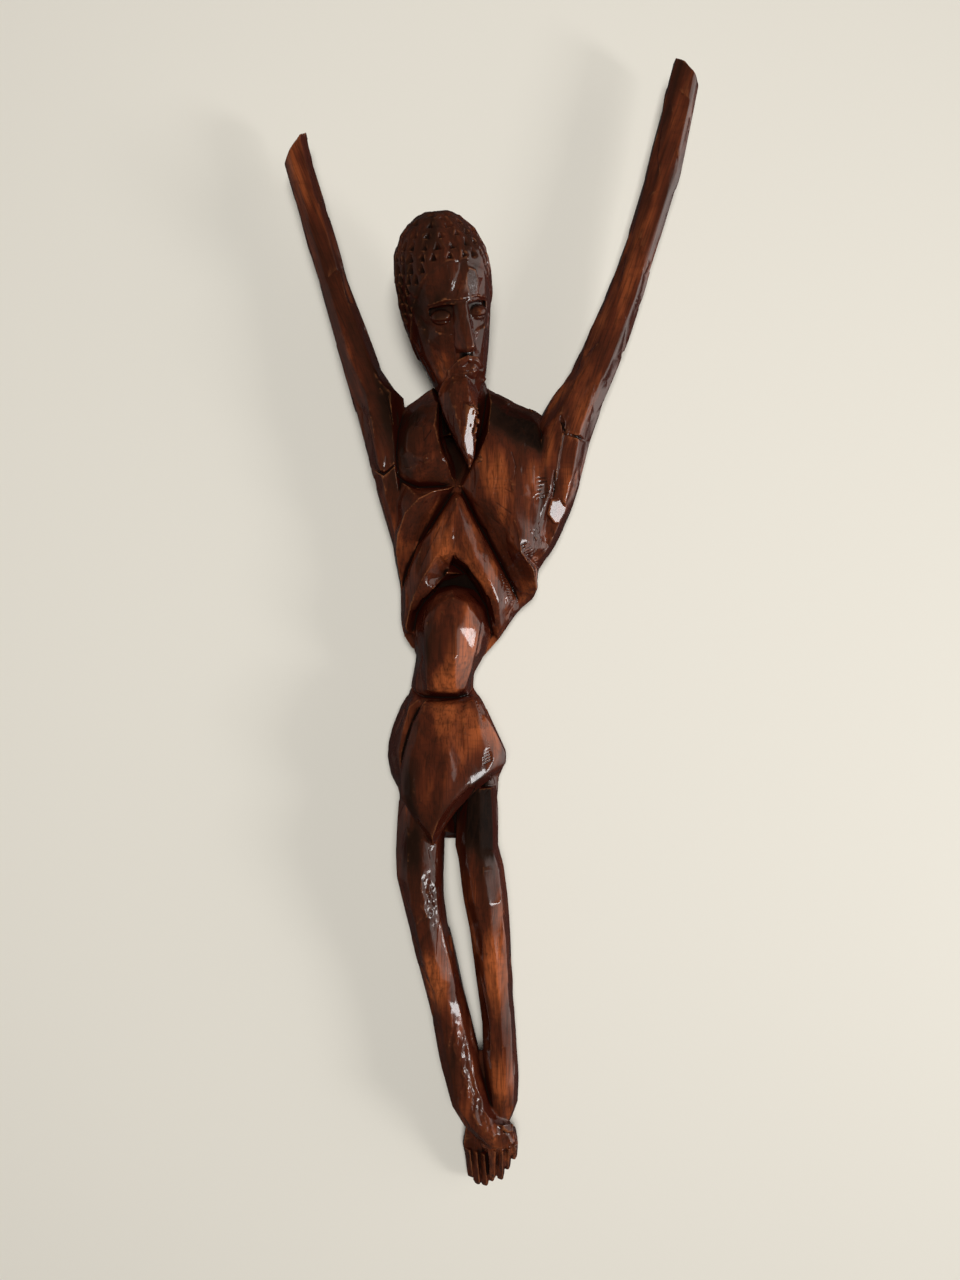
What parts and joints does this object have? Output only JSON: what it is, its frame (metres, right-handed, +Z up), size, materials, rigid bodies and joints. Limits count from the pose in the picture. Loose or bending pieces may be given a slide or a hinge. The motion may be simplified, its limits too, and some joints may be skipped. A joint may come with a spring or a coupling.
{
  "type": "wooden christ figure",
  "caption": "Carved and varnished wooden crucifix figure without its cross, arms raised and cut off before the hands, made to lie on its back or hang against a support.",
  "frame": {"origin": "middle of the figure's bounding box, at the surface that its back lies on", "axes": "+Y along the body towards the head, +X to the viewer's right, +Z up out of the chest"},
  "size_m": [0.2022, 0.5594, 0.0677],
  "materials": {
    "varnished_wood": "red-brown hardwood, knife-cut facets under a clear gloss varnish"
  },
  "bodies": {
    "root": {"carved_figure": "varnished_wood"}
  },
  "joints": []
}
